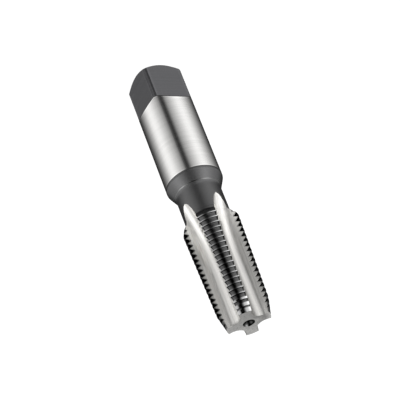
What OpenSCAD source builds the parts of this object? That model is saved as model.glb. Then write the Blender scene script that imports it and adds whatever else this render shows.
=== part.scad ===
// Taper pipe thread tap: one solid bar with a driving square, a plain shank,
// a relieved neck and a fluted, tapered, right-hand 60 degree thread.
// Units are millimetres. It stands on its square end, and Z runs to the cutting end.

/* [Body] */
// Overall length, square end to cutting end
overall_length = 74.6; // [72:0.1:90]
// Shank diameter, 9/16 inch
shank_d = 14.2875; // [13.2:0.0125:15.4]
// Length of the shank up to the corner of the neck cone
shank_length = 34.3; // [28:0.1:36]
// Length of the cone between shank and neck
cone_length = 3.1; // [2:0.1:4]
// Radius that softens the corner of shank and cone
corner_round = 1; // [0.4:0.1:2]
// Neck diameter
neck_d = 11.3; // [10.8:0.1:11.6]

/* [Driving square] */
// Width across the flats
square_af = 10.8; // [10:0.05:11.6]
// Length of the flats at the corners of the square
square_length = 10.2; // [8:0.1:12.5]
// Diameter of the flat face inside the end chamfer
square_face_d = 10.6; // [9.8:0.1:10.8]

/* [Thread] */
// Pitch, 18 threads to the inch
pitch = 1.411; // [1.3:0.001:1.6]
// Length of the thread, cutting end to neck
thread_length = 30.2; // [27:0.1:31]
// Major diameter that the taper reaches at the cutting end
major_d = 12.63; // [12.4:0.01:12.9]
// Diameter gained per millimetre of length, 1 in 16
taper = 0.0625; // [0.03:0.0005:0.07]
// Depth of thread
thread_depth = 0.98; // [0.8:0.01:1]
// Width of the flat on the crests
crest_flat = 0.18; // [0.1:0.01:0.22]
// Length of the cutting chamfer
chamfer_length = 4.9; // [3:0.1:7]
// Diameter over the lands at the cutting end
chamfer_d = 10.8; // [10.6:0.02:11]
// Radial relief from cutting edge to heel
relief = 0.06; // [0:0.01:0.1]

/* [Flutes] */
// Distance of the flute bottom from the axis at the cutting end
core_r = 2.95; // [2.7:0.05:3.1]
// Half of the angle between the flute walls
flute_half_angle = 27.5; // [25:0.5:32]
// Radius of the flute bottom
flute_round = 2.65; // [2.4:0.05:2.8]
// Radius of the wheel that runs the flutes out
wheel_r = 55; // [45:1:70]
// How far the flutes run into the neck
flute_runout = 3.5; // [2.8:0.1:4]

/* [Centre holes] */
// Mouth diameter of the centre hole at the cutting end
tip_centre_d = 2.88; // [2:0.02:3.4]
// Mouth diameter of the centre hole at the square end
rear_centre_d = 3; // [2:0.1:4]
// Pilot diameter of both centre holes
pilot_d = 1.2; // [0.8:0.1:1.6]
// Depth of both centre holes
centre_depth = 3.2; // [2.6:0.1:4]

/* [Hidden] */
$fn = 96;

shank_r = shank_d / 2;
neck_r = neck_d / 2;
z_cone = shank_length;                  // shank ends and the cone begins
z_neck = z_cone + cone_length;          // cone ends and the neck begins
z_thread = overall_length - thread_length;
z_leaf = z_thread - flute_runout;       // tips of the flutes on the neck
z_join = z_leaf - 0.5;                  // turned body ends, the cut body goes on
join_overlap = 1.2;                     // length of the cut body inside the turned one
join_sink = 0.03;                       // how far its end lies under the neck's skin

end_chamfer_slope = 0.62;               // rise per radius of the square end's chamfer
shoulder_slope = 0.95;                  // rise per radius of the flats' shoulders
back_slope = 0.53;                      // radius per rise of the cone behind the thread

lands = 4;
land_angle = 35.5;                      // middle of the first land from +X
crest_phase = 0.775;                    // crest above the cutting end at +X, in pitches
flank_length = thread_depth * tan(30);
crest_half = crest_flat / 2;
teeth = ceil(thread_length / pitch + 1.1);
row_gap = 0.015;                        // least spacing of two rows
chamfer_slope = ((major_d - chamfer_d) / 2 + chamfer_length * taper / 2) / chamfer_length;

// Body of the thread: its crests lie on the smallest of two cones and the taper

function major_r(z) = major_d / 2 + (overall_length - z) * taper / 2;
function minor_r(z) = major_r(z) - thread_depth;
function back_cone(z) = neck_r + (z - z_thread) * back_slope;
function front_cone(z) = chamfer_d / 2 + (overall_length - z) * chamfer_slope;
function crest_r(z) = min(back_cone(z), front_cone(z), major_r(z));
function root_r(z) = min(minor_r(z), crest_r(z));

// Height at which a flank from its root at z_root to z_top meets the cone above it
function flank_end(z_root, z_top) =
    let (slope = (major_r(z_top) - minor_r(z_root)) / (z_top - z_root),
         behind = back_cone(z_top) < front_cone(z_top),
         cone_slope = behind ? back_slope : -chamfer_slope,
         cone_base = behind ? back_cone(0) : front_cone(0))
    (minor_r(z_root) - slope * z_root - cone_base) / (cone_slope - slope);

// One side of a crest, cut back where a cone takes the top off the tooth
function crest_edge(z_root, z_top) =
    major_r(z_top) > crest_r(z_top) + 0.000001 && minor_r(z_root) < crest_r(z_root)
        ? flank_end(z_root, z_top) : z_top;

// Heights of the four points of a tooth: root, crest, crest, root
function tooth_z(crest_z, point) =
    let (low_top = crest_z - crest_half,
         high_top = crest_z + crest_half)
    point == 0 ? low_top - flank_length :
    point == 1 ? min(crest_z, crest_edge(low_top - flank_length, low_top)) :
    point == 2 ? max(crest_z, crest_edge(high_top + flank_length, high_top)) :
    high_top + flank_length;

// Flute section, a round bottom between straight walls: across from its middle, out from the axis

wall_slope = 1 / tan(flute_half_angle);
tangent_at = flute_round * cos(flute_half_angle);
least_half = 0.1;                       // half width kept where no flute is cut
leaf_drop = neck_r - core_r;
z_wheel = z_leaf + sqrt(wheel_r ^ 2 - (wheel_r - leaf_drop) ^ 2);

function wheel_rise(z) =
    z < z_wheel ? wheel_r - sqrt(wheel_r ^ 2 - min(z_wheel - z, wheel_r) ^ 2) : 0;
function bottom_r(z) = core_r + wheel_rise(z);
function apex_r(z) = bottom_r(z) - flute_round * (1 / sin(flute_half_angle) - 1);
function flute_out(z, across) =
    abs(across) < tangent_at
        ? bottom_r(z) + flute_round - sqrt(flute_round ^ 2 - across ^ 2)
        : apex_r(z) + abs(across) * wall_slope;

// Half width of the flute where the body around it has radius r
function wall_half(z, r) =
    let (b = apex_r(z) * wall_slope,
         a = 1 + wall_slope ^ 2,
         q = b ^ 2 - a * (apex_r(z) ^ 2 - r ^ 2))
    q > 0 ? (sqrt(q) - b) / a : 0;
function round_half(z, r) =
    let (middle = bottom_r(z) + flute_round,
         out = (r ^ 2 + middle ^ 2 - flute_round ^ 2) / (2 * middle))
    r > out && bottom_r(z) < r ? sqrt(r ^ 2 - out ^ 2) : 0;
function flute_half(z, r) =
    wall_half(z, r) > tangent_at ? wall_half(z, r) : max(least_half, round_half(z, r));

// Rows of the cut body: the plain neck, four for each tooth, and the cutting end

neck_rows = [z_join - join_overlap, z_leaf - 0.02, z_leaf + 0.2, z_leaf + 0.6,
             z_leaf + 1.2, z_leaf + 2.1, z_thread];
neck_count = len(neck_rows);
tooth_rows = 4 * teeth;
last_row = neck_count + tooth_rows;
land_cols = 6;
flute_cols = 9;
flute_rows = [for (row = [0 : last_row])
    if (row < neck_count || row == last_row || (row - neck_count) % 4 == 0) row];

function land_mid(land) = land_angle + land * 360 / lands;
function first_crest(land) =
    let (turns = crest_phase + land_mid(land) / 360)
    overall_length + pitch * (turns - floor(turns) + 1 - teeth);
function edge_angle(z, r) = 180 / lands - asin(flute_half(z, r) / r);
function row_z(row, land, turn) =
    row < neck_count ? neck_rows[row] :
    row == last_row ? overall_length :
    let (i = row - neck_count,
         crest_z = first_crest(land) + pitch * (floor(i / 4) + turn / 360))
    max(z_thread + row_gap * (i + 1),
        min(overall_length - row_gap * (tooth_rows - i), tooth_z(crest_z, i % 4)));
function row_r(row, z) =
    row == 0 ? neck_r - join_sink :
    row < neck_count ? neck_r :
    row == last_row ? chamfer_d / 2 :
    (row - neck_count) % 4 % 3 == 0 ? root_r(z) : crest_r(z);

// Point on a land, column 0 at its heel and the last at its cutting edge
function land_point(row, land, col) =
    let (side = 2 * col / (land_cols - 1) - 1,
         level = row_z(row, land, 0),
         turn = side * edge_angle(level, row_r(row, level)),
         z = row_z(row, land, turn),
         cut_back = row > neck_count && row < last_row ? relief * (1 - side) / 2 : 0,
         r = row_r(row, z) - cut_back,
         angle = land_mid(land) + side * edge_angle(z, r))
    [r * cos(angle), r * sin(angle), z];

// Place of a flute column across the flute: its walls' ends, and even turns round the bottom
function across_at(half, col) =
    let (turn_in = min(tangent_at, 0.75 * half),
         round_turn = 90 - flute_half_angle,
         turn = round_turn * (2 * (col - 1) / (flute_cols - 3) - 1))
    col == 0 ? -half :
    col == flute_cols - 1 ? half :
    turn_in * sin(turn) / sin(round_turn);

// Point in the flute that follows a land
function flute_point(row, land, col) =
    let (share = col / (flute_cols - 1),
         z = (1 - share) * land_point(row, land, land_cols - 1)[2]
             + share * land_point(row, land + 1, 0)[2],
         body_r = row < neck_count ? row_r(row, z) : root_r(z),
         bottom = bottom_r(z),
         half = bottom < body_r ? flute_half(z, bottom + 0.8 * (body_r - bottom)) : 0.8 * least_half,
         across = across_at(half, col),
         out = min(flute_out(z, across), sqrt(body_r ^ 2 - across ^ 2)),
         angle = land_mid(land) + 180 / lands)
    [out * cos(angle) - across * sin(angle), out * sin(angle) + across * cos(angle), z];

// Places of the points in the list, land points first
flute_start = (last_row + 1) * lands * land_cols;
axis_start = flute_start + len(flute_rows) * lands * flute_cols;
function land_at(row, land, col) = (row * lands + land % lands) * land_cols + col;
function flute_at(level, land, col) = flute_start + (level * lands + land) * flute_cols + col;

// Two triangles, its corners taken clockwise from outside
function quad(a, b, c, d) = [[a, b, c], [a, c, d]];

// Neck, thread and flutes in one skin
module cut_body() {
    points = concat(
        [for (row = [0 : last_row], land = [0 : lands - 1], col = [0 : land_cols - 1])
            land_point(row, land, col)],
        [for (row = flute_rows, land = [0 : lands - 1], col = [0 : flute_cols - 1])
            flute_point(row, land, col)],
        [[0, 0, neck_rows[0]], [0, 0, overall_length]]);
    land_faces = [for (row = [0 : last_row - 1], land = [0 : lands - 1], col = [0 : land_cols - 2])
        each quad(land_at(row, land, col), land_at(row + 1, land, col),
                  land_at(row + 1, land, col + 1), land_at(row, land, col + 1))];
    last_level = len(flute_rows) - 1;
    flute_faces = [for (level = [0 : last_level - 1], land = [0 : lands - 1], col = [0 : flute_cols - 2])
        each quad(flute_at(level, land, col), flute_at(level + 1, land, col),
                  flute_at(level + 1, land, col + 1), flute_at(level, land, col + 1))];
    // Walls from the toothed edges of the lands to the smooth flute between them
    wall_faces = [for (level = [0 : last_level - 1], land = [0 : lands - 1])
        let (low = flute_rows[level],
             high = flute_rows[level + 1],
             split = low + floor((high - low) / 2),
             edge = land_cols - 1,
             far = flute_cols - 1)
        each concat(
            [for (row = [low : 1 : high - 1])
                [land_at(row, land, edge), land_at(row + 1, land, edge),
                 flute_at(row < split ? level : level + 1, land, 0)]],
            [[land_at(split, land, edge), flute_at(level + 1, land, 0), flute_at(level, land, 0)]],
            [for (row = [low : 1 : high - 1])
                [flute_at(row < split ? level : level + 1, land, far),
                 land_at(row + 1, land + 1, 0), land_at(row, land + 1, 0)]],
            [[flute_at(level, land, far), flute_at(level + 1, land, far), land_at(split, land + 1, 0)]])];
    // An end face, seen from above: a fan inside the flutes, and one on the end of each land
    function end_face(row, level, centre) =
        let (inner = [for (land = [0 : lands - 1], col = [0 : flute_cols - 1])
                 flute_at(level, land, col)])
        concat(
            [for (i = [0 : len(inner) - 1]) [centre, inner[i], inner[(i + 1) % len(inner)]]],
            [for (land = [0 : lands - 1])
                let (before = flute_at(level, (land + lands - 1) % lands, flute_cols - 1),
                     rim = concat([before], [for (col = [0 : land_cols - 1]) land_at(row, land, col)]))
                each [for (i = [0 : land_cols - 1]) [flute_at(level, land, 0), rim[i], rim[i + 1]]]]);
    ends = concat(
        end_face(0, 0, axis_start),
        [for (face = end_face(last_row, last_level, axis_start + 1)) [face[0], face[2], face[1]]]);
    polyhedron(points, concat(land_faces, flute_faces, wall_faces, ends), convexity = 10);
}

// Shank, cone and neck, turned from one profile
module turned_body() {
    cone_angle = atan2(shank_r - neck_r, cone_length);
    corner_start = z_cone - corner_round * tan(cone_angle / 2);
    corner = [for (i = [0 : 4])
        let (turn = cone_angle * i / 4)
        [shank_r - corner_round * (1 - cos(turn)), corner_start + corner_round * sin(turn)]];
    rotate_extrude() polygon(concat(
        [[0, 0], [square_face_d / 2, 0],
         [shank_r, (shank_r - square_face_d / 2) * end_chamfer_slope]],
        corner,
        [[neck_r, z_neck], [neck_r, z_join], [0, z_join]]));
}

// Waste beside one flat of the square, with the slanted shoulder that a cutter leaves
module flat_waste() {
    flat_r = square_af / 2;
    reach = 4;
    rotate([90, 0, 0]) linear_extrude(height = 2 * (shank_r + 1), center = true)
        polygon([[flat_r, -1], [flat_r + reach, -1],
                 [flat_r + reach, square_length + reach * shoulder_slope], [flat_r, square_length]]);
}

// Centre hole that opens down at the origin: a 60 degree mouth and a pilot
module centre_hole(mouth_d) {
    over = 0.01;
    cylinder(h = centre_depth, d = pilot_d, $fn = 32);
    translate([0, 0, -over])
        cylinder(h = over + (mouth_d - pilot_d) / 2 / tan(30),
                 d1 = mouth_d + 2 * over * tan(30), d2 = pilot_d);
}

module tap() {
    color([0.62, 0.62, 0.63]) difference() {
        union() {
            difference() {
                turned_body();
                for (side = [0 : 3]) rotate([0, 0, 90 * side]) flat_waste();
                centre_hole(rear_centre_d);
            }
            cut_body();
        }
        translate([0, 0, overall_length]) mirror([0, 0, 1]) centre_hole(tip_centre_d);
    }
}

tap();
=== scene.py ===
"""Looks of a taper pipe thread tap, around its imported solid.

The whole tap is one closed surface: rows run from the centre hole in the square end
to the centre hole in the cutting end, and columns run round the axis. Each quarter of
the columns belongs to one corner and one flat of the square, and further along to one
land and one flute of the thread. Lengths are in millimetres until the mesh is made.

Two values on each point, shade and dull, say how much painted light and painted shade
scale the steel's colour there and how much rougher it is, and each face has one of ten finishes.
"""
import math

import bpy
import numpy as np
from mathutils import Matrix, Vector


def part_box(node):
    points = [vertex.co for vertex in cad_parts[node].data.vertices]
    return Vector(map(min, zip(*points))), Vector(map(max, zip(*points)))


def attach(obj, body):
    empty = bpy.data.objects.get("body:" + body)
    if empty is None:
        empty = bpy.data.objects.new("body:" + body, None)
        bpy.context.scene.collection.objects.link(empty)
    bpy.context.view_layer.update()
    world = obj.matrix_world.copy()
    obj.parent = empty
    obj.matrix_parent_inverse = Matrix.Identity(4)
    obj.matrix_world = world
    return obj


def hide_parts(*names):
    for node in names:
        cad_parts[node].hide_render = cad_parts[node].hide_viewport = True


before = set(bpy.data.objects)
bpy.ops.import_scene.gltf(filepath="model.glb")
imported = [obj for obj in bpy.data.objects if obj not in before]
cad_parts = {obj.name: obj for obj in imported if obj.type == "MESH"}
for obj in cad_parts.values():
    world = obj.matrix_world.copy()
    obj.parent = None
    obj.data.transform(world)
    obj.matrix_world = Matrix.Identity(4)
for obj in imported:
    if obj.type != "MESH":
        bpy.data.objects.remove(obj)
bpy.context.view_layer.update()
MM = 0.001

# Sizes of the tap

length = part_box("tap")[1][2] / MM
shank_r = 14.2875 / 2
neck_r = 11.3 / 2
z_cone = 34.3
z_neck = 37.4
cone_slope = math.atan2(shank_r - neck_r, z_neck - z_cone)
corner_round = 1.0
foot_round = 2.4
z_foot = z_neck + foot_round * (math.tan(cone_slope / 2) - math.sin(cone_slope))
z_ground = 33.7
z_rim = z_ground - 0.14
z_streak = z_foot - 0.16
flat_r = 10.8 / 2
face_r = 10.6 / 2
square_length = 10.2
end_chamfer_slope = 0.62
shoulder_slope = 0.95
shoulder_line = 0.2
pitch = 1.411
z_thread = length - 30.2
major_end_r = 12.63 / 2
taper = 1 / 32
thread_depth = 0.98
crest_half = 0.18 / 2
chamfer_length = 4.6
chamfer_end_r = 10.8 / 2
relief = 0.06
back_start = 45.07
back_slope = 0.79
core_r = 2.95
flute_half_angle = math.radians(27.5)
flute_round = 2.65
wheel_r = 55.0
z_leaf = z_thread - 3.5
land_angle = math.radians(35.5)
crest_phase = 0.775
tip_centre_r = 2.88 / 2
rear_centre_r = 1.5
pilot_r = 0.6
centre_depth = 3.2
hole_lip = 0.04
quarter = math.pi / 2

# Bearing of the camera round the axis, and the quarters that it shows beside the land in front

FRONT = math.radians(-54.1)
LEFT_FLUTE = 3
LEFT_LAND = 0
RIGHT_FLUTE = 2
RIGHT_LAND = 2

# Columns: a quarter holds a land with its two edges, then the flute after it

SIDES = np.array([-1, -0.95, -0.88, -0.6, -0.4, -0.25, -0.12, 0, 0.12, 0.25, 0.4, 0.6, 0.8, 0.88, 0.94, 1])
LAND_COLS = len(SIDES)
EDGE_COLS = 2
EDGE_INSETS = (0.14, 0.3)
EDGE_SHARES = (0.25, 0.75)
ROUND_COLS = 17
WALL_COLS = 3
FLUTE_COLS = ROUND_COLS + 2 * WALL_COLS + 2 * EDGE_COLS
QUARTER_COLS = LAND_COLS + FLUTE_COLS
columns = np.arange(4 * QUARTER_COLS)
part = columns // QUARTER_COLS
place = columns % QUARTER_COLS
on_land = place < LAND_COLS
side = np.where(on_land, SIDES[np.minimum(place, LAND_COLS - 1)], 0.0)
flute_place = place - LAND_COLS
from_edge = np.where(on_land, FLUTE_COLS, np.minimum(flute_place, FLUTE_COLS - 1 - flute_place))
at_edge = from_edge < EDGE_COLS
turned_share = np.where(on_land, 0.0, (flute_place + 1) / (FLUTE_COLS + 1))
across_share = (flute_place - EDGE_COLS + 1) / (FLUTE_COLS - 2 * EDGE_COLS + 1)
across_share = np.where(on_land, 0.0, np.clip(across_share, 0, 1))


def crest_line(z):
    """Radius over the crests: the smallest of the taper, the cone behind and the cutting chamfer."""
    drop = (major_end_r + chamfer_length * taper - chamfer_end_r) / chamfer_length
    behind = neck_r + np.clip(z - back_start, 0, None) * back_slope
    chamfer = chamfer_end_r + (length - z) * drop
    return np.minimum(np.minimum(behind, chamfer), major_end_r + (length - z) * taper)


def root_line(z):
    """Radius at the roots: the taper less the depth of thread, never over the crest line."""
    return np.minimum(major_end_r + (length - z) * taper - thread_depth, crest_line(z))


def bottom_line(z):
    """Distance of the flute bottom from the axis: even, then the arc of the wheel out to the neck."""
    z_wheel = z_leaf + math.sqrt(wheel_r ** 2 - (wheel_r - neck_r + core_r) ** 2)
    into_arc = np.clip(z_wheel - z, 0, wheel_r)
    return core_r + wheel_r - np.sqrt(wheel_r ** 2 - into_arc ** 2)


# Section of a flute: where its bottom meets the walls, how steep they are, and its least half width

TANGENT = flute_round * math.cos(flute_half_angle)
WALL = 1 / math.tan(flute_half_angle)
LEAST_FLUTE = 0.03


def flute_out(z, across):
    """Distance out from the axis at a place across the flute: a circle's arc between two straight walls."""
    bottom = bottom_line(z)
    apex = bottom - flute_round * (1 / math.sin(flute_half_angle) - 1)
    inside = np.clip(np.abs(across), 0, flute_round)
    curved = bottom + flute_round - np.sqrt(flute_round ** 2 - inside ** 2)
    return np.where(np.abs(across) < TANGENT, curved, apex + np.abs(across) * WALL)


def flute_half(z, r):
    """Half width of the flute where the body has radius r.

    The wall's line and the bottom's circle are each cut with the circle of radius r, and
    the wall's cut counts where it lies outside the tangent.
    """
    bottom = bottom_line(z)
    apex = bottom - flute_round * (1 / math.sin(flute_half_angle) - 1)
    a, b = 1 + WALL ** 2, apex * WALL
    on_wall = (np.sqrt(np.clip(b ** 2 - a * (apex ** 2 - r ** 2), 0, None)) - b) / a
    middle = bottom + flute_round
    out = (r ** 2 + middle ** 2 - flute_round ** 2) / (2 * middle)
    on_round = np.sqrt(np.clip(r ** 2 - out ** 2, 0, None)) * (bottom < r)
    return np.where(on_wall > TANGENT, on_wall, np.maximum(on_round, LEAST_FLUTE))


def polar(r, angle, z):
    """Points from radius, angle and height, stacked as x, y, z."""
    r, angle, z = np.broadcast_arrays(r, angle, z)
    return np.stack([r * np.cos(angle), r * np.sin(angle), z], axis=-1)


# Rows of the thread: twelve for each tooth, by fractions of flank and crest

TOOTH_ROWS = 12
REAR_SHARES = (0.1, 0.55)
FRONT_SHARES = (0.22, 0.32, 0.62, 0.92)
FLANK = thread_depth * math.tan(math.radians(30))
BREAK = 0.03
SPARE_TEETH = 1.1
teeth = math.ceil((length - z_thread) / pitch + SPARE_TEETH)
thread_rows = np.arange(TOOTH_ROWS * teeth)[:, None]


def land_middle(quarter_index):
    """Angle of a land's middle."""
    return land_angle + quarter_index * quarter


def crest_height(row, turn):
    """Height of the tooth that a row belongs to, where its helix has turned from its land's middle."""
    start = crest_phase + land_middle(part) / (2 * math.pi)
    first = length + pitch * (start - np.floor(start) + 1 - teeth)
    return first + pitch * (row // TOOTH_ROWS + turn / (2 * math.pi))


def tooth_heights(row, turn):
    """Height of each row: up the rear flank, over the crest and down the front flank.

    The crest's two sides move along the flanks to where the crest line cuts the tooth.
    """
    middle = crest_height(row, turn)
    low, high = middle - crest_half, middle + crest_half
    flank_slope = thread_depth / FLANK
    for _ in range(4):
        low_cut = np.clip(major_end_r + (length - low) * taper - crest_line(low), 0, None)
        high_cut = np.clip(major_end_r + (length - high) * taper - crest_line(high), 0, None)
        low = middle - crest_half - np.minimum(low_cut, thread_depth) / flank_slope
        high = middle + crest_half + np.minimum(high_cut, thread_depth) / flank_slope
    foot, head = middle - crest_half - FLANK, middle + crest_half + FLANK
    rear = [foot + (low - foot) * share for share in REAR_SHARES]
    front = [high + (head - high) * share for share in FRONT_SHARES]
    levels = [foot, *rear, low - BREAK, low + BREAK, high - BREAK, high + BREAK, *front, head]
    return np.select([row % TOOTH_ROWS == step for step in range(TOOTH_ROWS)], levels)


def tooth_radii(row, turn, z):
    """Radius of the thread at a height: the flanks, cut off by the crest line and the root line."""
    from_crest = np.abs(z - crest_height(row, turn)) - crest_half
    flank = major_end_r + (length - z) * taper - np.clip(from_crest, 0, None) * thread_depth / FLANK
    return np.maximum(np.minimum(flank, crest_line(z)), root_line(z))


# Least sizes that keep rows and columns in order, then places of rows and columns

ROW_GAP = 0.004
LEAST_HALF = 0.02
LEAST_ROOM = 0.005
LEAST_RISE = 0.02
ROUND_SHARE = 0.8
WALL_TOP = 0.9
SQUARE_SHARES = (0, 0.33, 0.67, 1)
GROUND_STEPS = (0.03, 0.14, 0.3)
SHANK_HEIGHTS = (12.4, 18.0, 24.0, 30.0, z_ground - 0.3, z_rim, z_ground)
ARC_ROWS = 9
NECK_ROWS = 6
NECK_START = 38.2
NECK_STOP = z_leaf - 0.2
LEAF_ROWS = 26
STREAK_STEP = 0.02
HOLE_STEPS = (1.15, 0.95, 0.5, 0.3)


def edge_turn(z, r):
    """Angle from a land's middle to its edge: half a quarter less the arcsine of flute half over radius."""
    return quarter / 2 - np.arcsin(flute_half(z, r) / r)


def land_rows():
    """Radius, angle and height of the land columns in the thread rows.

    A column lies at its share of the angle between a land's middle and its edge, a row at
    the height that its helix has there, and the radius is the tooth's less the relief
    behind the cutting edge. The edge's angle and the radius follow from each other, so
    they are worked out in turns. The flute columns hold the values of a land's middle.
    """
    row = thread_rows + 0 * columns
    low_stop = z_thread + ROW_GAP * (row + 1)
    high_stop = length - ROW_GAP * (TOOTH_ROWS * teeth - row)
    middle_z = 59.0
    middle_r = 6.5
    edge = edge_turn(middle_z, middle_r)
    for _ in range(3):
        turn = side * edge
        z = np.clip(tooth_heights(row, turn), low_stop, high_stop)
        r = tooth_radii(row, turn, z) - relief * (1 - side) / 2
        edge = edge_turn(z, r)
    return r, land_middle(part) + side * edge, z


def across_places(half, edge_half):
    """Places across the flute: round its bottom, out along each wall to half, then close to its edges.

    Round the bottom they are the sines of even steps of angle, along a wall they are even,
    and the last two stand in from edge_half by small insets.
    """
    index = flute_place - EDGE_COLS - WALL_COLS
    reach = np.minimum(TANGENT, ROUND_SHARE * half)
    spin = index / (ROUND_COLS - 1) * 2 - 1
    bent = reach * np.sin(np.clip(spin, -1, 1) * (math.pi / 2 - flute_half_angle))
    bent = bent / math.sin(math.pi / 2 - flute_half_angle)
    beyond = np.clip(np.maximum(-index, index - ROUND_COLS + 1), 0, WALL_COLS) / WALL_COLS
    inner = bent + np.sign(spin) * beyond * (half - reach)
    inset = np.where(from_edge == 0, *EDGE_INSETS) * math.sin(flute_half_angle)
    room = np.where(from_edge == 0, *EDGE_SHARES) * (edge_half - half)
    return np.where(at_edge, np.sign(spin) * (edge_half - np.minimum(inset, room)), inner)


def flute_points(z, body_r, edge_r):
    """Radius, angle and height of the flute columns.

    Each lies on the flute's section at its height, held under the circle of the body, or
    at the edges under the circle of the lands' edges.
    """
    bottom = bottom_line(z)
    high_on_wall = bottom + WALL_TOP * (body_r - bottom)
    half = np.where(bottom < body_r, flute_half(z, high_on_wall), LEAST_HALF)
    across = across_places(half, np.maximum(flute_half(z, edge_r), half + LEAST_ROOM))
    roof = np.where(at_edge, edge_r, body_r)
    out = np.minimum(flute_out(z, across), np.sqrt(roof ** 2 - across ** 2))
    return np.hypot(out, across), land_middle(part) + quarter / 2 + np.arctan2(across, out), z


def fill_flutes(values):
    """Values in the flute columns, evenly between the edges of the lands on both sides."""
    grid = values.reshape(len(values), 4, QUARTER_COLS)
    before = grid[:, :, LAND_COLS - 1:LAND_COLS]
    after = np.roll(grid[:, :, :1], -1, axis=1)
    share = across_share.reshape(1, 4, QUARTER_COLS)
    mixed = before * (1 - share) + after * share
    return np.where(on_land, values, mixed.reshape(values.shape))


def thread_grid():
    """Points of the threaded length: toothed lands and smooth flutes, each from its own functions."""
    r, angle, z = land_rows()
    z = fill_flutes(z)
    flute_r, flute_angle, z = flute_points(z, root_line(z), fill_flutes(r))
    return polar(np.where(on_land, r, flute_r), np.where(on_land, angle, flute_angle), z)


def leaf_grid():
    """Points of the neck where the flutes run out in pointed leaves.

    The lands lie on the neck's cylinder, and the rows' heights rise with the square of
    their number, so that they are closer together near the leaves' tips.
    """
    rise = np.linspace(0, 1, LEAF_ROWS)[:, None] ** 2
    z = z_leaf + (z_thread - z_leaf) * rise + 0 * columns
    flute_r, flute_angle, z = flute_points(z, np.full_like(z, neck_r), neck_r)
    angle = np.where(on_land, land_middle(part) + side * edge_turn(z, neck_r), flute_angle)
    return polar(np.where(on_land, neck_r, flute_r), angle, z)


# Turned length: the corner columns take a narrow strip, the flat columns the rest of the quarter

STRIP_HALF = quarter / 2 - math.acos(flat_r / shank_r)
flat_turn = (turned_share * 2 - 1) * (quarter / 2 - STRIP_HALF)
turned_angle = quarter / 2 + part * quarter + np.where(on_land, side * STRIP_HALF, quarter / 2 + flat_turn)


def square_grid():
    """Points of the driving square, and of the first rows on the shank above its slanted shoulders.

    A flat column's radius is the flat's distance over the cosine of its angle, and it
    keeps its place across the flat up to the height at which the shoulder's slope meets
    the shank, so every edge of the square is a line of the mesh. The end's chamfer is a
    cone, so it starts higher the further out the column lies.
    """
    sideways = np.where(on_land, 0, shank_r * np.sin(flat_turn))
    flat_angle = part * quarter + quarter + np.arctan2(sideways, flat_r)
    body_r = np.where(on_land, shank_r, np.hypot(flat_r, sideways))
    angle = np.where(on_land, turned_angle, flat_angle)
    start = (body_r - face_r) * end_chamfer_slope
    rise = np.where(on_land, 0, (shank_r * np.cos(flat_turn) - flat_r) * shoulder_slope)
    top = square_length + np.maximum(rise, LEAST_RISE)
    rows = [polar(face_r, angle, 0 * columns)]
    rows += [polar(body_r, angle, start * (1 - t) + square_length * t) for t in SQUARE_SHARES]
    rows += [polar(shank_r, turned_angle, top), polar(shank_r, turned_angle, top + shoulder_line)]
    ground = [polar(shank_r, turned_angle, top + shoulder_line + step) for step in GROUND_STEPS]
    return np.stack(rows), np.stack(ground)


def turned_grid():
    """Points of shank, cone and neck: a profile turned round the axis.

    The profile is level along the shank, an arc of radius corner_round, the cone's
    straight slope, an arc of radius foot_round, and level along the neck. There the
    columns turn evenly from the places of the square to those of the lands.
    """
    bend = np.linspace(0, cone_slope, ARC_ROWS)
    corner_z = z_cone - corner_round * math.tan(cone_slope / 2) + corner_round * np.sin(bend)
    corner_r = shank_r - corner_round * (1 - np.cos(bend))
    foot = cone_slope * np.linspace(1, 0, ARC_ROWS)
    foot_z = z_neck + foot_round * math.tan(cone_slope / 2) - foot_round * np.sin(foot)
    foot_r = neck_r + foot_round * (1 - np.cos(foot))
    streak_z = np.array([z_streak - STREAK_STEP, z_streak])
    streak_r = foot_r[0] + (z_foot - streak_z) * math.tan(cone_slope)
    shank_z = np.array(SHANK_HEIGHTS)
    neck_z = np.linspace(NECK_START, NECK_STOP, NECK_ROWS)
    z = np.concatenate([shank_z, corner_z, streak_z, foot_z, neck_z])
    r = np.concatenate([shank_r + 0 * shank_z, corner_r, streak_r, foot_r, neck_r + 0 * neck_z])
    leaf_turn = np.full_like(z, z_leaf)[:, None] + 0 * columns
    flute_angle = flute_points(leaf_turn, np.full_like(leaf_turn, neck_r), neck_r)[1]
    cut_angle = np.where(on_land, land_middle(part) + side * edge_turn(leaf_turn, neck_r), flute_angle)
    share = np.clip((z - z_neck) / (NECK_STOP - z_neck), 0, 1)[:, None]
    return polar(r[:, None], turned_angle * (1 - share) + cut_angle * share, z[:, None])


def centre_hole(angle, mouth_r, z, inward):
    """Rings of a centre hole, from its floor to its mouth: a pilot, then a 60 degree cone.

    The cone's radius grows evenly from the pilot's to the mouth's as the depth falls.
    """
    cone_depth = (mouth_r - pilot_r) / math.tan(math.radians(30))
    slope = (mouth_r - pilot_r) / (cone_depth - hole_lip)
    rings = [(pilot_r * 0.5, centre_depth), (pilot_r, centre_depth), (pilot_r, cone_depth)]
    rings += [(mouth_r - (depth - hole_lip) * slope, depth) for depth in HOLE_STEPS]
    rings += [(mouth_r, hole_lip), (mouth_r + hole_lip, 0)]
    return np.stack([polar(r, angle, z + inward * depth) for r, depth in rings])


# Painted light and shade on the steel: each stop is a place and the share of the finish's full tone there

# Across a land the places run from the heel at -1 to the cutting edge at 1

# Painted shade: ROW_TONES darkens a line under each crest; NOTCH_TONES darkens the cutting edge at the
# crests and lightens it at the roots as a painted highlight
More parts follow.
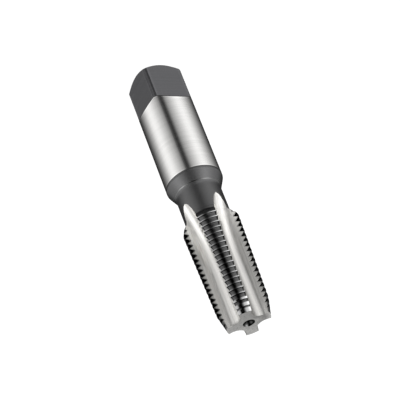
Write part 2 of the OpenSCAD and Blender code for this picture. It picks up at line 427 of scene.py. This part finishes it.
CREST_ROWS = (3, 4, 5)
ROW_TONES = np.array([1, 1, 1, 1, 1, 1, 0.25, 0.2, 1, 1, 1, 1])
NOTCH_TONES = np.array([0.12] * 8 + [0.3, 0.7, 1, 1])
NOTCH_SHARE = 0.7
# Painted reflection and shade: LAND_TONES and CREST_TONES darken a strip up each land's middle and lines
# along both its edges
LAND_TONES = [(-1, 0.1), (-0.95, 0.3), (-0.88, 1), (-0.28, 1), (-0.1, 0.35), (0.13, 0.25), (0.3, 1),
              (0.8, 1.05), (0.88, 0.7), (0.94, 0.25), (1, 0.2)]
CREST_TONES = [(-0.28, 1), (-0.1, 0.4), (0.13, 0.3), (0.3, 1)]
# Painted shade on the crests that the chamfer cuts, darker still on the two lands beside the front one
BLUNT_TONES = [(-0.88, 0.95), (-0.75, 0.8), (-0.6, 0.56), (-0.4, 0.47), (-0.28, 0.45), (-0.1, 0.3),
               (0.13, 0.3), (0.3, 0.85), (1, 0.85)]
BLUNT_LEFT = [(0, 0.2), (0.5, 1)]
BLUNT_RIGHT = [(-0.5, 1), (0, 0.2)]
# MIDDLE_STRIP and MIDDLE_LIFT pale the painted dark middle towards the neck, HEEL_FALL and HEEL_TONE paint
# shade along the heel, and FIRST_THREADS halves the painted shade on the first threads
MIDDLE_STRIP = [(0.1, 1), (0.3, 0)]
MIDDLE_LIFT = [(50, 0.9), (54.5, 0.35), (60, 0)]
HEEL_FALL = [(50, 0.88), (58, 1)]
HEEL_SIDE = -0.2
HEEL_TONE = 0.12
FIRST_THREADS = 46
# Painted highlights and dark lines across the square's corner strips and at the edges of its flats
CORNER_TONES = [(-1, 1.2), (-0.6, 0.75), (-0.25, 0.85), (0.12, 1.25), (0.6, 1.1), (1, 0.95)]
FLAT_TONES = [(0.03, 1.2), (0.08, 1), (0.92, 1), (0.97, 1.2)]

# Across a flute the places are millimetres from its middle, and along the tap they are heights

# Painted light and shade that follow the flutes' reflections, across the section and squeezed towards the
# neck
SECTION_TONES = [(-3.0, 0.97), (-2.76, 0.97), (-2.42, 0.8), (-2.3, 0.9), (-2.17, 1.12), (-2.03, 1.12),
                 (-1.7, 0.96), (-1.1, 0.86), (-0.6, 0.66), (-0.3, 0.6), (0.3, 0.74), (0.85, 0.69),
                 (1.1, 0.76), (1.3, 0.9), (1.5, 1.1), (1.7, 1.35), (2.03, 1.0), (2.2, 0.66), (2.4, 0.64),
                 (3.0, 0.6)]
SECTION_SQUEEZE = [(46, 0.86), (50, 0.9), (54, 0.95), (60, 1.0)]
# SHADOW is a painted shadow of the front land in the right flute; the gleams are painted reflections along
# the left flute's bottom
SHADOW = [(-0.5, 0), (-0.2, 0.1), (0.1, 0.28), (0.4, 0.55)]
SHADOW_START = 48
GLEAM_AT_TIP = [(-0.9, 0), (-0.6, 0.45), (-0.3, 0.35), (0.0, 0.45), (0.3, 0.15), (0.6, 0)]
GLEAM_AT_NECK = [(-0.9, 1), (-0.6, 1), (-0.3, 0.7), (0.0, 0)]
GLEAM_ROWS = np.array([0.1] * 3 + [-0.6] * 6 + [0.1] * 3)
GLEAM_START = [(44.6, 0), (48.5, 1)]
TOWARDS_TIP = [(54.5, 0), (60, 1), (72, 1.15)]
# Painted light and shade near the neck, and painted light rising towards the neck on the bottoms and more on
# the walls
LIFT_LEFT = [(1.4, 1), (1.57, 1.15), (1.7, 1.4), (1.85, 1.5), (2.0, 1.3), (2.12, 1.1), (2.26, 0.92),
             (2.39, 0.86), (2.5, 0.86), (2.6, 0.9), (3.0, 0.95)]
LIFT_RIGHT = [(-3.0, 0.9), (-2.85, 0.85), (-2.5, 0.96), (-2.3, 1.05), (-2.12, 1.17), (-1.98, 1.25),
              (-1.83, 1.2), (-1.6, 1.0), (-1, 0.97), (-0.5, 1.0), (0, 0.86), (0.3, 0.65)]
NEAR_NECK = [(45.5, 0), (50, 1), (53, 1), (57.5, 0)]
ON_WALL = [(1.38, 0), (1.98, 1)]
WALL_ROOM = 0.25
BOTTOM_RISE = [(46, 1.3), (50, 1.25), (56, 1.0), (62, 0.9), (74, 0.88)]
WALL_RISE = [(46, 1.7), (50, 1.65), (56, 1.1), (62, 1.0), (74, 1.0)]
# Painted shade: a dark line at the left flute's end, and on the land side of the right leaf; RIM_STOP ends
# the right flute's lighter outline
TIP_LINE = [(0, 0.35), (0.08, 0.5), (0.2, 1)]
TIP_LINE_HALF = 1.6
RIM_STOP = 58
LEAF_SIDE = [(0.6, 1), (0.75, 0.8), (0.9, 0.45), (1.0, 0.35)]
DULL_WALLS = [(-2.5, 0), (-2.1, 0.14), (-1.7, 0.14), (-1.3, 0), (1.2, 0), (1.6, 0.35), (2.1, 0.35), (2.5, 0)]
DULL_LENGTH = [(42, 0), (46, 1), (54, 1), (60, 0)]

# In the holes and on the end face the places are depths, or bearings from the camera's in degrees

# Painted shade in the holes, with painted glints: a lit ring deep in the cone and a lit wedge at the mouth
HOLE_DEPTHS = [(0, 0.6), (0.04, 0.03), (0.42, 0.03), (0.6, 0.33), (0.8, 0.26), (0.95, 0.02)]
HOLE_ROUND = [(-120, 1), (-90, 1.2), (-60, 1), (50, 1), (70, 2.2), (110, 2.2), (130, 1)]
WEDGE_ROUND = [(110, 0), (125, 0.6), (155, 0.6), (170, 0)]
WEDGE_DEPTHS = [(0, 1), (0.3, 1), (0.42, 0)]
# Painted light and shade on the end face, by bearing from the camera
MOUTH_ROUND = [(-180, 0.85), (-90, 0.95), (0, 0.76), (90, 0.8), (180, 0.85)]
INNER_ROUND = [(-180, 1.05), (-135, 0.9), (-90, 0.5), (0, 0.72), (90, 0.88), (135, 1.0), (180, 1.05)]
OUTER_ROUND = [(-180, 1.05), (-135, 1.1), (-90, 1.3), (0, 0.72), (90, 0.95), (135, 1.0), (180, 1.05)]
# Painted highlight of the streak at the cone's foot, by bearing from the camera
STREAK_ROUND = [(18, 0.45), (27, 1), (42, 1), (52, 0.45)]

# Shares of the end face's radius that bound its rings, tones of single lines (a painted highlight along the
# shank's rims, painted shade over the shoulders and on the holes' floors), and how near a row's height is

MOUTH_OUT = 0.35
FACE_RING = 0.75
INNER_OUT = 0.8
RIM_TONE = 1.35
SHOULDER_TONE = 0.55
HOLE_FLOOR = (0.1, 0.1)
SAME_ROW = 0.01
SHARP_ANGLE = math.radians(22)


def tone(position, stops):
    """Tone at a position, in straight lines from stop to stop and level beyond the last."""
    return np.interp(position, [at for at, _ in stops], [value for _, value in stops])


def across_flute(points):
    """Distance of each point from the middle plane of its flute."""
    turn = np.arctan2(points[..., 1], points[..., 0]) - land_middle(part) - quarter / 2
    return np.hypot(points[..., 0], points[..., 1]) * np.sin(turn)


def camera_bearing(points):
    """Bearing of each point round the axis, from -180 to 180 degrees, with 0 towards the camera."""
    return np.degrees(np.arctan2(points[..., 1], points[..., 0]) - FRONT + 3 * math.pi) % 360 - 180


def tap_dull(names, points):
    """How much rougher the steel is: on the walls of the flutes, where the wheel came out of the cut."""
    in_flute = ((names == "neck") | (names == "thread"))[:, None] & ~on_land
    return tone(across_flute(points), DULL_WALLS) * tone(points[..., 2], DULL_LENGTH) * in_flute


def land_tones(step, height):
    """Painted light and shade on the lands: a tooth's flanks, its crest, and painted dark lines along both
    edges.

    On the flanks the tone across the land is multiplied by that of the row, which paints a dark
    line under each crest, and a painted dark reflection runs up each land's middle. The crests
    have their own tones across, one set for whole crests and one for those that the
    chamfer cuts. A pale strip runs up the middle from the neck, where the first threads
    have half the painted shade of the others. The cutting edge is painted dark at the crests and painted
    light at the roots.
    """
    on_crest = np.isin(step, CREST_ROWS)[:, None]
    on_chamfer = height > length - chamfer_length
    blunt = tone(side, BLUNT_TONES)
    blunt = blunt * np.where(part == LEFT_LAND, tone(side, BLUNT_LEFT), 1)
    blunt = blunt * np.where(part == RIGHT_LAND, tone(side, BLUNT_RIGHT), 1)
    crest = np.where(on_chamfer, blunt, tone(side, CREST_TONES))
    land = np.where(on_crest, crest, tone(side, LAND_TONES) * ROW_TONES[step][:, None])
    land = land + (1 - land) * tone(np.abs(side), MIDDLE_STRIP) * tone(height, MIDDLE_LIFT)
    land = land * np.where(side < HEEL_SIDE, tone(height, HEEL_FALL), 1)
    notch = NOTCH_TONES[step][:, None]
    land = np.where(side == SIDES[-2], np.maximum(land, NOTCH_SHARE * notch), land)
    land = np.where(side == SIDES[-1], notch, land)
    land = np.where((side == SIDES[0]) & ~(on_crest & on_chamfer), HEEL_TONE, land)
    return np.where(height < FIRST_THREADS, land * 0.5 + 0.5, land)


def flute_gleam(step, height, across):
    """The reflection along the left flute's bottom, as a share more or less than the section's tone.

    It runs evenly from the reflection of the teeth at the neck to a plain streak at the tip.
    """
    at_neck = GLEAM_ROWS[step][:, None] * tone(across, GLEAM_AT_NECK)
    gleam = at_neck + (tone(across, GLEAM_AT_TIP) - at_neck) * tone(height, TOWARDS_TIP)
    return np.where(part == LEFT_FLUTE, gleam * tone(height, GLEAM_START), 0)


def flute_tones(step, height, across):
    """Painted light and shade on the flutes: the section's tones, lifted towards the neck, more so on the
    walls, with a painted shadow beside the front land.
    """
    section = tone(across * tone(height, SECTION_SQUEEZE), SECTION_TONES)
    shadow = tone(across, SHADOW) * (part == RIGHT_FLUTE) * (height > SHADOW_START)
    near_neck = tone(height, NEAR_NECK)
    lift = np.where(part == LEFT_FLUTE, tone(across, LIFT_LEFT) - 1, 0)
    lift = np.where(part == RIGHT_FLUTE, tone(across, LIFT_RIGHT) - 1, lift)
    section = section * (1 + lift * near_neck)
    on_wall = tone(np.abs(across), ON_WALL)
    rise = tone(height, BOTTOM_RISE)
    rise = rise + (tone(height, WALL_RISE) - rise) * on_wall
    gleam = flute_gleam(step, height, across)
    flute = np.minimum(section * (1 - shadow) * (1 + gleam) * rise, 1 + WALL_ROOM * on_wall)
    # Painted shadow: a dark line along the left flute's end at the tip
    tip_line = (part == LEFT_FLUTE) & (np.abs(across) < TIP_LINE_HALF)
    flute = flute * np.where(tip_line, tone(length - height, TIP_LINE), 1)
    # Painted shade on the land side of the right flute's leaf
    on_leaf = (part == RIGHT_FLUTE) & (height < z_thread)
    return flute * np.where(on_leaf, tone(across_share, LEAF_SIDE), 1)


def flute_rims(step, height, across):
    """Painted shade and light beside the flutes' edges, dark outlines with painted highlights near the
    roots: first of the column at the edge, then of the one inside it.
    """
    first = from_edge == 0
    rim = np.where(first, 0.15, np.where(across > 0, 0.5, 0.6))
    rim = np.where((across < 0) & (step > 8)[:, None], np.where(first, 1.2, 1.1), rim)
    right_rim = (across < 0) & (part == RIGHT_FLUTE) & (height < RIM_STOP)
    return np.where(right_rim, np.where(first, 0.6, 0.9), rim)


def hole_tones(points):
    """Painted shade and glints in the centre holes: dark, with a painted lit ring deep in the cone and a
    painted lit wedge at the mouth.
    """
    depth = np.minimum(points[..., 2], length - points[..., 2])
    bearing = camera_bearing(points)
    ring = tone(depth, HOLE_DEPTHS) * tone(bearing, HOLE_ROUND)
    return ring + tone(bearing, WEDGE_ROUND) * tone(depth, WEDGE_DEPTHS)


def face_tones(points):
    """Painted light and shade on the end face, by bearing from the camera: at the hole's mouth, on the ring
    outside it and at the edge.
    """
    bearing = camera_bearing(points)
    out = np.hypot(points[..., 0], points[..., 1]) / chamfer_end_r
    rounds = [tone(bearing, MOUTH_ROUND), tone(bearing, INNER_ROUND)]
    return np.select([out < MOUTH_OUT, out < INNER_OUT], rounds, tone(bearing, OUTER_ROUND))


def shank_tones(row_number, points):
    """Tones of the turned length: full, but for painted highlights along the shank's rims and a painted
    highlight on the streak at the cone's foot, full only at some bearings.
    """
    height = points[..., 2]
    streak = tone(np.abs(camera_bearing(points)), STREAK_ROUND)
    rim = (np.abs(height - z_rim) < SAME_ROW) | (row_number == 1)
    return np.select([rim, np.abs(height - z_streak) < SAME_ROW], [RIM_TONE, streak], 1.0)


def square_tones(row_number):
    """Painted light and shade on the driving square: highlights and dark lines across its corner strips and
    flats, and a painted dark line on the oxide over the shoulders.
    """
    square = np.where(on_land, tone(side, CORNER_TONES), tone(turned_share, FLAT_TONES))
    return np.where((row_number == -1) & ~on_land, SHOULDER_TONE, square)


def tap_shade(names, points):
    """Painted light and shade on each point's steel, by the block of rows that it belongs to."""
    block = names[:, None]
    labels = names.tolist()
    number = np.arange(len(names))
    step = (number - labels.index("thread")) % TOOTH_ROWS
    height = points[..., 2]
    across = across_flute(points)
    shank_row = (number - labels.index("shank"))[:, None]
    flute = flute_tones(step, height, across)
    rims = np.where((block == "thread") & at_edge, flute_rims(step, height, across), 1)
    cut = (block == "thread") | (block == "neck")
    blocks = [block == "hole", block == "face", block == "shank", block == "square",
              (block == "thread") & on_land, cut & ~on_land]
    tones = [hole_tones(points), face_tones(points), shank_tones(shank_row, points),
             square_tones(shank_row), land_tones(step, height), flute * rims]
    return np.select(blocks, tones, 1.0)


# Finishes, numbered in the order in which the tap carries them

(GROUND_SHANK, DARK_OXIDE, GROUND_FLUTE, GROUND_CREST, CUT_FACE,
 GROUND_FLANK, SQUARE_OXIDE, OXIDE_STREAK_HIGHLIGHT, HOLE_STEEL, HONED_EDGE_HIGHLIGHT) = range(10)


def tap_finish(names, height):
    """Number of the finish of each face between two rows, by the block of its upper row."""
    rows, cols = height.shape
    after = np.broadcast_to(names[1:, None], (rows - 1, cols))
    land_face = np.broadcast_to(on_land & (place < LAND_COLS - 1), (rows - 1, cols))
    thread_row = np.arange(1, rows)[:, None] - names.tolist().index("thread") + 0 * columns
    step = thread_row % TOOTH_ROWS
    shank = after == "shank"
    neck = after == "neck"
    thread = after == "thread"
    cases = [
        (after == "square", SQUARE_OXIDE),
        (shank & (height[1:] < z_ground + SAME_ROW), GROUND_SHANK),
        # Painted highlight: the streak ring at the cone's foot gets a lighter, glossier oxide
        (shank & (np.abs(height[:-1] - z_streak) < SAME_ROW), OXIDE_STREAK_HIGHLIGHT),
        (after == "hole", HOLE_STEEL),
        (shank, DARK_OXIDE),
        ((neck | thread) & ~land_face, GROUND_FLUTE),
        (neck | (thread & (thread_row < 2 * TOOTH_ROWS)), DARK_OXIDE),
        # A honed edge with a painted highlight: a light strip along each cutting edge
        (thread & (place == LAND_COLS - 2) & (step > CREST_ROWS[0]), HONED_EDGE_HIGHLIGHT),
        (thread & (step > CREST_ROWS[0]) & (step <= CREST_ROWS[-1] + 1), GROUND_CREST),
        (thread, GROUND_FLANK),
    ]
    return np.select([where for where, _ in cases], [number for _, number in cases], CUT_FACE)


def tap_faces(rows, cols):
    """Corners of the faces: four-sided ones between the rows, then fans that close both floors."""
    index = np.arange(rows * cols).reshape(rows, cols)
    ring = np.roll(index, -1, axis=1)
    quads = np.stack([index[:-1], ring[:-1], ring[1:], index[1:]], axis=-1).reshape(-1, 4)
    low = np.stack([np.full(cols, rows * cols), ring[0], index[0]], axis=-1)
    high = np.stack([np.full(cols, rows * cols + 1), index[-1], ring[-1]], axis=-1)
    return quads.tolist() + low.tolist() + high.tolist()


def tap_mesh():
    """The closed surface of the tap, with the finish of each face and two values on each point: painted
    light and shade, and dullness.
    """
    square, ground = square_grid()
    tip_z = np.full((1, len(columns)), length)
    flute_r, flute_angle, _ = flute_points(tip_z, np.full_like(tip_z, chamfer_end_r), chamfer_end_r)
    tip_angle = land_middle(part) + side * edge_turn(tip_z, chamfer_end_r)
    tip_angle = np.where(on_land, tip_angle, flute_angle)[0]
    tip = polar(np.where(on_land, chamfer_end_r, flute_r[0]), tip_angle, length)
    rear_angle = np.arctan2(square[0, :, 1], square[0, :, 0])
    tip_hole = centre_hole(tip_angle, tip_centre_r, length, -1)[::-1]
    blocks = [
        ("hole", centre_hole(rear_angle, rear_centre_r, 0, 1)),
        ("square", square),
        ("shank", ground),
        ("shank", turned_grid()),
        ("neck", leaf_grid()),
        ("thread", thread_grid()),
        ("face", tip[None]),
        ("face", (tip * [FACE_RING, FACE_RING, 1])[None]),
        ("face", tip_hole[:1]),
        ("hole", tip_hole[1:]),
    ]
    points = np.concatenate([grid for _, grid in blocks])
    names = np.concatenate([[name] * len(grid) for name, grid in blocks])
    rows, cols = points.shape[:2]
    floors = np.array([[0, 0, centre_depth], [0, 0, length - centre_depth]])
    faces = tap_faces(rows, cols)
    finish = np.append(tap_finish(names, points[..., 2]), np.full(2 * cols, HOLE_STEEL))
    mesh = bpy.data.meshes.new("tap_steel")
    mesh.from_pydata((np.concatenate([points.reshape(-1, 3), floors]) * MM).tolist(), [], faces)
    mesh.polygons.foreach_set("material_index", finish.astype(np.int32))
    mesh.polygons.foreach_set("use_smooth", np.ones(len(faces), dtype=bool))
    mesh.set_sharp_from_angle(angle=SHARP_ANGLE)
    shade = np.append(tap_shade(names, points), HOLE_FLOOR)
    dull = np.append(tap_dull(names, points), [0, 0])
    for name, values in (("shade", shade), ("dull", dull)):
        layer = mesh.attributes.new(name, "FLOAT", "POINT")
        layer.data.foreach_set("value", values.astype(np.float32))
    mesh.update()
    return mesh


# Shader helpers

def add(tree, kind, **values):
    """A node with the given sockets set by name, and properties where no socket has the name."""
    node = tree.nodes.new(kind)
    for name, value in values.items():
        socket = node.inputs.get(name.replace("_", " "))
        if socket is not None:
            socket.default_value = value
        else:
            setattr(node, name, value)
    return node


def grinding_group():
    """Lines left by a wheel: a noise drawn out along one direction, as a value round 0 and a normal."""
    group = bpy.data.node_groups.new("grinding_lines", "ShaderNodeTree")
    face = group.interface
    face.new_socket("Stretch", in_out="INPUT", socket_type="NodeSocketVector")
    face.new_socket("Depth", in_out="INPUT", socket_type="NodeSocketFloat")
    face.new_socket("Lines", in_out="OUTPUT", socket_type="NodeSocketFloat")
    face.new_socket("Height", in_out="OUTPUT", socket_type="NodeSocketFloat")
    entry = group.nodes.new("NodeGroupInput")
    leave = group.nodes.new("NodeGroupOutput")
    coords = group.nodes.new("ShaderNodeTexCoord")
    scaled = add(group, "ShaderNodeVectorMath", operation="MULTIPLY")
    noise = add(group, "ShaderNodeTexNoise", Scale=1.0, Detail=5.0, Roughness=0.65)
    centred = add(group, "ShaderNodeMath", operation="SUBTRACT")
    centred.inputs[1].default_value = 0.5
    deep = add(group, "ShaderNodeMath", operation="MULTIPLY")
    link = group.links.new
    link(coords.outputs["Object"], scaled.inputs[0])
    link(entry.outputs["Stretch"], scaled.inputs[1])
    link(scaled.outputs[0], noise.inputs["Vector"])
    link(noise.outputs["Fac"], centred.inputs[0])
    link(centred.outputs[0], deep.inputs[0])
    link(entry.outputs["Depth"], deep.inputs[1])
    link(centred.outputs[0], leave.inputs["Lines"])
    link(deep.outputs[0], leave.inputs["Height"])
    return group


grinding = grinding_group()


def steel(name, colour, roughness, rough_swing, stretch, depth, metallic=1.0, tone_swing=0.1,
          grain=0.0, grain_turn=0.0, rim=1.0):
    """Steel with wheel lines: they vary its roughness and tone and lift its normal; the point's painted
    light and shade scales its colour.
    """
    material = bpy.data.materials.new(name)
    material.use_nodes = True
    tree = material.node_tree
    shader = tree.nodes["Principled BSDF"]
    shader.inputs["Metallic"].default_value = metallic
    shader.inputs["Specular Tint"].default_value = (rim, rim, rim, 1)
    shader.inputs["Anisotropic"].default_value = grain
    shader.inputs["Anisotropic Rotation"].default_value = grain_turn
    lines = add(tree, "ShaderNodeGroup")
    lines.node_tree = grinding
    lines.inputs["Stretch"].default_value = stretch
    lines.inputs["Depth"].default_value = depth
    dull = add(tree, "ShaderNodeAttribute", attribute_name="dull")
    base_rough = add(tree, "ShaderNodeMath", operation="ADD")
    base_rough.inputs[1].default_value = roughness
    rough = add(tree, "ShaderNodeMath", operation="MULTIPLY_ADD", use_clamp=True)
    rough.inputs[1].default_value = rough_swing
    tone = add(tree, "ShaderNodeMath", operation="MULTIPLY_ADD")
    tone.inputs[1].default_value = tone_swing
    tone.inputs[2].default_value = 1.0
    shade = add(tree, "ShaderNodeAttribute", attribute_name="shade")
    shaded = add(tree, "ShaderNodeMath", operation="MULTIPLY")
    tint = add(tree, "ShaderNodeVectorMath", operation="SCALE")
    tint.inputs[0].default_value = colour
    bump = add(tree, "ShaderNodeBump", Strength=1.0, Distance=MM)
    link = tree.links.new
    link(dull.outputs["Fac"], base_rough.inputs[0])
    link(base_rough.outputs[0], rough.inputs[2])
    link(lines.outputs["Lines"], rough.inputs[0])
    link(lines.outputs["Lines"], tone.inputs[0])
    link(tone.outputs[0], shaded.inputs[0])
    link(shade.outputs["Fac"], shaded.inputs[1])
    link(shaded.outputs[0], tint.inputs["Scale"])
    link(tint.outputs[0], shader.inputs["Base Color"])
    link(rough.outputs[0], shader.inputs["Roughness"])
    link(lines.outputs["Height"], bump.inputs["Height"])
    link(bump.outputs[0], shader.inputs["Normal"])
    return material


# Finishes, in the order of their numbers; the lines run round the axis, along it or in no direction

ROUND_LINES = (60.0, 60.0, 3200.0)
LONG_LINES = (2600.0, 2600.0, 45.0)
FINE_GRAIN = (2000.0, 2000.0, 2000.0)
finishes = [
    steel("ground_shank", (0.665, 0.66, 0.65), 0.12, 0.1, ROUND_LINES, 0.002, tone_swing=0.3,
          grain=0.5, rim=0.4),
    steel("dark_oxide", (0.105, 0.105, 0.106), 0.38, 0.15, FINE_GRAIN, 0.003, metallic=0.9, rim=0.3),
    steel("ground_flute", (0.8, 0.79, 0.765), 0.48, 0.15, LONG_LINES, 0.003, tone_swing=0.8,
          grain=0.7, grain_turn=0.25),
    steel("ground_crest", (0.72, 0.72, 0.72), 0.1, 0.1, ROUND_LINES, 0.001),
    steel("cut_face", (0.56, 0.555, 0.54), 0.3, 0.15, FINE_GRAIN, 0.004, tone_swing=1.3),
    steel("ground_flank", (0.42, 0.42, 0.42), 0.1, 0.1, ROUND_LINES, 0.001),
    steel("square_oxide", (0.1, 0.1, 0.105), 0.4, 0.15, ROUND_LINES, 0.003, metallic=0.9, tone_swing=0.5),
    # A lighter, glossier oxide for the streak at the cone's foot: a painted highlight
    steel("oxide_painted_highlight", (0.15, 0.15, 0.15), 0.2, 0.1, FINE_GRAIN, 0.002, rim=0.3),
    steel("hole_steel", (0.2, 0.2, 0.2), 0.2, 0.1, ROUND_LINES, 0.002),
    # Light strip along the cutting edges: a honed edge with a painted highlight
    steel("honed_edge_painted_highlight", (0.95, 0.95, 0.94), 0.6, 0.1, FINE_GRAIN, 0.002),
]

tap = bpy.data.objects.new("tap_steel", tap_mesh())
bpy.context.scene.collection.objects.link(tap)
for finish in finishes:
    tap.data.materials.append(finish)
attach(tap, "root")
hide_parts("tap")


# Stage: a white floor that keeps a faint shadow, its radius in metres

FLOOR_R = 2.0
FLOOR_SIDES = 96


def make_floor():
    """A round white floor, seen by the camera as nearly full white."""
    turn = np.linspace(0, 2 * math.pi, FLOOR_SIDES + 1)[:-1]
    mesh = bpy.data.meshes.new("floor")
    mesh.from_pydata(polar(FLOOR_R, turn, 0).tolist(), [], [list(range(FLOOR_SIDES))])
    floor = bpy.data.objects.new("floor", mesh)
    bpy.context.scene.collection.objects.link(floor)
    floor.visible_glossy = False
    material = bpy.data.materials.new("floor_white")
    material.use_nodes = True
    tree = material.node_tree
    tree.nodes.clear()
    output = tree.nodes.new("ShaderNodeOutputMaterial")
    glow = add(tree, "ShaderNodeEmission", Strength=0.97)
    matt = add(tree, "ShaderNodeBsdfDiffuse", Color=(0.18, 0.18, 0.18, 1))
    lit = tree.nodes.new("ShaderNodeAddShader")
    plain = add(tree, "ShaderNodeBsdfDiffuse", Color=(0.7, 0.7, 0.7, 1))
    path = tree.nodes.new("ShaderNodeLightPath")
    choose = tree.nodes.new("ShaderNodeMixShader")
    link = tree.links.new
    link(glow.outputs[0], lit.inputs[0])
    link(matt.outputs[0], lit.inputs[1])
    link(path.outputs["Is Camera Ray"], choose.inputs[0])
    link(plain.outputs[0], choose.inputs[1])
    link(lit.outputs[0], choose.inputs[2])
    link(choose.outputs[0], output.inputs[0])
    mesh.materials.append(material)


# Studio: white for the camera, and two wide panels with a narrow dark gap for the metal

# A stop is a bearing from the camera's and the light there, and a fade is two heights, all in degrees

BELOW = [(4, 0.05), (8, 0.15), (16, 0.45), (32, 0.8), (48, 1.16), (58, 1.34), (68, 1.38), (80, 1.22)]
BELOW_LEFT = [(-96, 0.75), (-112, 0.44), (-128, 0.22), (-146, 0.11), (-160, 0.08), (-180, 0.1)]
BELOW_RIGHT = [(96, 0.86), (112, 0.56), (128, 0.33), (146, 0.15), (160, 0.08), (180, 0.1)]
LEVEL_LEFT = [(0, 0.0), (-13, 0.0), (-16, 0.6), (-22, 0.85), (-32, 1.0), (-60, 1.6), (-125, 1.5),
              (-140, 0.5), (-150, 0.1), (-165, 0.1), (-180, 0.3)]
LEVEL_RIGHT = [(3, 0.0), (7, 0.5), (14, 1.6), (80, 1.6), (125, 1.3), (140, 0.4), (150, 0.1), (165, 0.1),
               (180, 0.3)]
ABOVE = [(0, 0.05), (8, 0.1), (20, 0.4), (34, 1.3), (50, 2.8), (62, 3.3), (74, 2.5), (86, 1.4), (97, 0.8),
         (112, 0.3), (128, 0.0), (150, 0.0), (160, 0.1), (170, 0.6), (180, 0.75)]
LEVEL_FADE = (-24, -12)
ABOVE_FADE = (2, 12)
UNDER_FADE = (-85, -55)
OVER_FADE = (75, 50)


def both_sides(stops):
    """The same stops to the left and to the right."""
    return stops + [(-degrees, value) for degrees, value in stops if degrees]


def ramp(tree, stops):
    """A colour ramp with grey stops; places run from 0 to 1."""
    node = tree.nodes.new("ShaderNodeValToRGB")
    cells = node.color_ramp.elements
    while len(cells) < len(stops):
        cells.new(0.5)
    for cell, (position, value) in zip(cells, sorted(stops)):
        cell.position = position
        cell.color = (value, value, value, 1)
    return node


def make_studio():
    """World light worked out from the direction: panels by bearing, one set for each band of height.

    The bearing is the arctangent of the parts of the direction aside from and towards the
    camera, and the height is the arcsine of its upward part.
    """
    world = bpy.data.worlds.new("studio")
    bpy.context.scene.world = world
    world.use_nodes = True
    tree = world.node_tree
    tree.nodes.clear()
    link = tree.links.new
    coords = tree.nodes.new("ShaderNodeTexCoord")
    split = tree.nodes.new("ShaderNodeSeparateXYZ")
    link(coords.outputs["Generated"], split.inputs[0])
    towards = add(tree, "ShaderNodeVectorMath", operation="DOT_PRODUCT")
    towards.inputs[1].default_value = (math.cos(FRONT), math.sin(FRONT), 0)
    aside = add(tree, "ShaderNodeVectorMath", operation="DOT_PRODUCT")
    aside.inputs[1].default_value = (math.sin(FRONT), -math.cos(FRONT), 0)
    bearing = add(tree, "ShaderNodeMath", operation="ARCTAN2")
    turn = add(tree, "ShaderNodeMapRange")
    turn.inputs["From Min"].default_value = -math.pi
    turn.inputs["From Max"].default_value = math.pi
    link(coords.outputs["Generated"], towards.inputs[0])
    link(coords.outputs["Generated"], aside.inputs[0])
    link(aside.outputs["Value"], bearing.inputs[0])
    link(towards.outputs["Value"], bearing.inputs[1])
    link(bearing.outputs[0], turn.inputs["Value"])
    height = add(tree, "ShaderNodeMath", operation="ARCSINE")
    link(split.outputs["Z"], height.inputs[0])

    def fade(low, high):
        """0 at the height low and 1 at the height high, in degrees, smoothly between and level beyond."""
        node = add(tree, "ShaderNodeMapRange", interpolation_type="SMOOTHSTEP")
        node.inputs["From Min"].default_value = math.radians(low)
        node.inputs["From Max"].default_value = math.radians(high)
        link(height.outputs[0], node.inputs["Value"])
        return node.outputs[0]

    def panels(stops):
        """The light of one band of height, by bearing."""
        node = ramp(tree, [(degrees / 360 + 0.5, value) for degrees, value in stops])
        link(turn.outputs[0], node.inputs[0])
        return node.outputs[0]

    light = panels(both_sides(BELOW) + BELOW_LEFT + BELOW_RIGHT)
    for stops, heights in ((LEVEL_LEFT + LEVEL_RIGHT, LEVEL_FADE), (both_sides(ABOVE), ABOVE_FADE)):
        blend = add(tree, "ShaderNodeMix", data_type="RGBA")
        link(fade(*heights), blend.inputs["Factor"])
        link(light, blend.inputs["A"])
        link(panels(stops), blend.inputs["B"])
        light = blend.outputs["Result"]
    ends = add(tree, "ShaderNodeMath", operation="MULTIPLY")
    link(fade(*UNDER_FADE), ends.inputs[0])
    link(fade(*OVER_FADE), ends.inputs[1])
    studio = tree.nodes.new("ShaderNodeBackground")
    link(light, studio.inputs["Color"])
    link(ends.outputs[0], studio.inputs["Strength"])
    white = tree.nodes.new("ShaderNodeBackground")
    white.inputs["Color"].default_value = (1, 1, 1, 1)
    path = tree.nodes.new("ShaderNodeLightPath")
    seen = add(tree, "ShaderNodeMath", operation="MAXIMUM")
    link(path.outputs["Is Camera Ray"], seen.inputs[0])
    link(path.outputs["Is Transmission Ray"], seen.inputs[1])
    choose = tree.nodes.new("ShaderNodeMixShader")
    link(seen.outputs[0], choose.inputs[0])
    link(studio.outputs[0], choose.inputs[1])
    link(white.outputs[0], choose.inputs[2])
    output = tree.nodes.new("ShaderNodeOutputWorld")
    link(choose.outputs[0], output.inputs[0])


def make_camera():
    """The photograph's camera: it looks down on the cutting end, and is rolled most of the way round."""
    elevation = math.radians(32.45)
    roll = math.radians(158.6)
    distance = 398.0
    aim = Vector((0.13, 0.09, 38.73))
    focal = 149.24
    back = Vector((math.cos(FRONT) * math.cos(elevation), math.sin(FRONT) * math.cos(elevation),
                   math.sin(elevation)))
    turn = back.to_track_quat("Z", "Y").to_matrix() @ Matrix.Rotation(roll, 3, "Z")
    camera = bpy.data.objects.new("camera", bpy.data.cameras.new("camera"))
    camera.matrix_world = Matrix.Translation((aim + back * distance) * MM) @ turn.to_4x4()
    camera.data.lens = focal
    camera.data.sensor_width = 36
    camera.data.clip_start, camera.data.clip_end = 0.01, 20
    bpy.context.scene.collection.objects.link(camera)
    bpy.context.scene.camera = camera


make_floor()
make_studio()
make_camera()
bpy.context.scene.view_settings.view_transform = "Standard"
